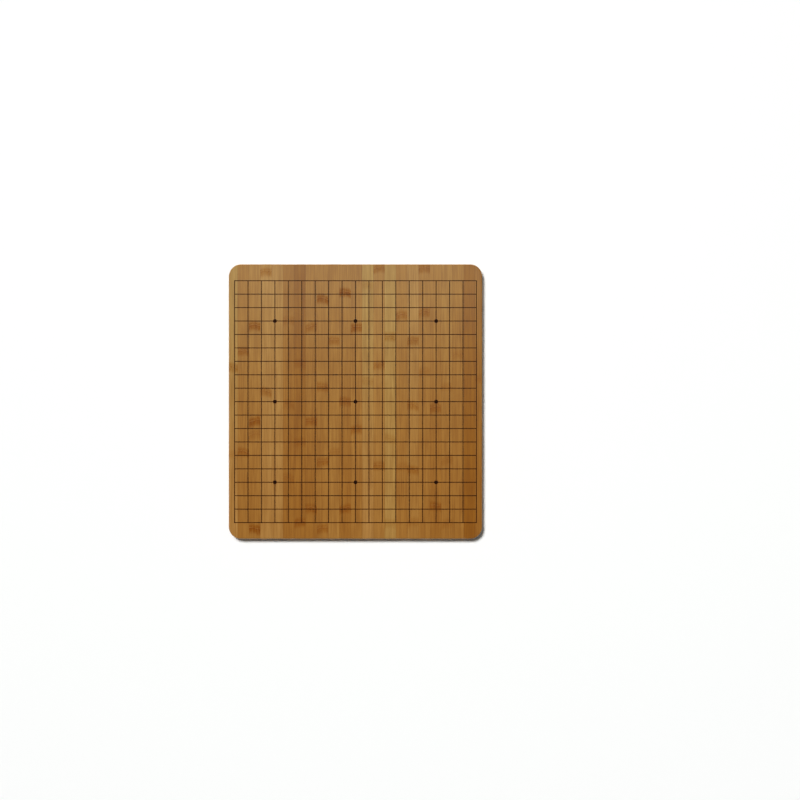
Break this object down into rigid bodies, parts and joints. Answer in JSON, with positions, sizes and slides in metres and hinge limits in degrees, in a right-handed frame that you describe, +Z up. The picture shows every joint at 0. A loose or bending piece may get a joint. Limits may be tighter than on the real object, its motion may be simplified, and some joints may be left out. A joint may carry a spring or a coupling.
{
  "type": "go board",
  "caption": "Flat board for the game of Go, pressed from crossed bamboo strips, with round corners, eased rims and a dark lacquer grid with star points.",
  "frame": {"origin": "middle of the flat underside, where the board lies on a table", "axes": "+Z up out of the playing face, +Y along the long side and the outer strips, +X along the short side"},
  "size_m": [0.48, 0.52, 0.0202],
  "materials": {
    "bamboo_pale": "satin varnish",
    "bamboo_light": "satin varnish",
    "bamboo_mid": "satin varnish",
    "bamboo_deep": "satin varnish",
    "bamboo_dark": "satin varnish",
    "bamboo_core": "satin varnish",
    "lacquer": "satin lacquer"
  },
  "bodies": {
    "root": {"top_strip_01": "bamboo_mid", "top_strip_02": "bamboo_mid", "top_strip_03": "bamboo_mid", "top_strip_04": "bamboo_pale", "top_strip_05": "bamboo_pale", "top_strip_06": "bamboo_deep", "top_strip_07": "bamboo_deep", "top_strip_08": "bamboo_mid", "top_strip_09": "bamboo_mid", "top_strip_10": "bamboo_light", "top_strip_11": "bamboo_deep", "top_strip_12": "bamboo_mid", "top_strip_13": "bamboo_pale", "top_strip_14": "bamboo_light", "top_strip_15": "bamboo_pale", "top_strip_16": "bamboo_mid", "top_strip_17": "bamboo_light", "top_strip_18": "bamboo_mid", "top_strip_19": "bamboo_deep", "top_strip_20": "bamboo_mid", "top_strip_21": "bamboo_mid", "top_strip_22": "bamboo_dark", "top_strip_23": "bamboo_mid", "core_slats": "bamboo_core", "bottom_strip_01": "bamboo_mid", "bottom_strip_02": "bamboo_mid", "bottom_strip_03": "bamboo_light", "bottom_strip_04": "bamboo_mid", "bottom_strip_05": "bamboo_mid", "bottom_strip_06": "bamboo_deep", "bottom_strip_07": "bamboo_mid", "bottom_strip_08": "bamboo_pale", "bottom_strip_09": "bamboo_light", "bottom_strip_10": "bamboo_mid", "bottom_strip_11": "bamboo_mid", "bottom_strip_12": "bamboo_deep", "bottom_strip_13": "bamboo_mid", "bottom_strip_14": "bamboo_pale", "bottom_strip_15": "bamboo_mid", "bottom_strip_16": "bamboo_light", "bottom_strip_17": "bamboo_mid", "bottom_strip_18": "bamboo_mid", "bottom_strip_19": "bamboo_deep", "bottom_strip_20": "bamboo_mid", "bottom_strip_21": "bamboo_light", "bottom_strip_22": "bamboo_mid", "bottom_strip_23": "bamboo_mid", "grid_lines": "lacquer", "star_points": "lacquer"}
  },
  "joints": []
}
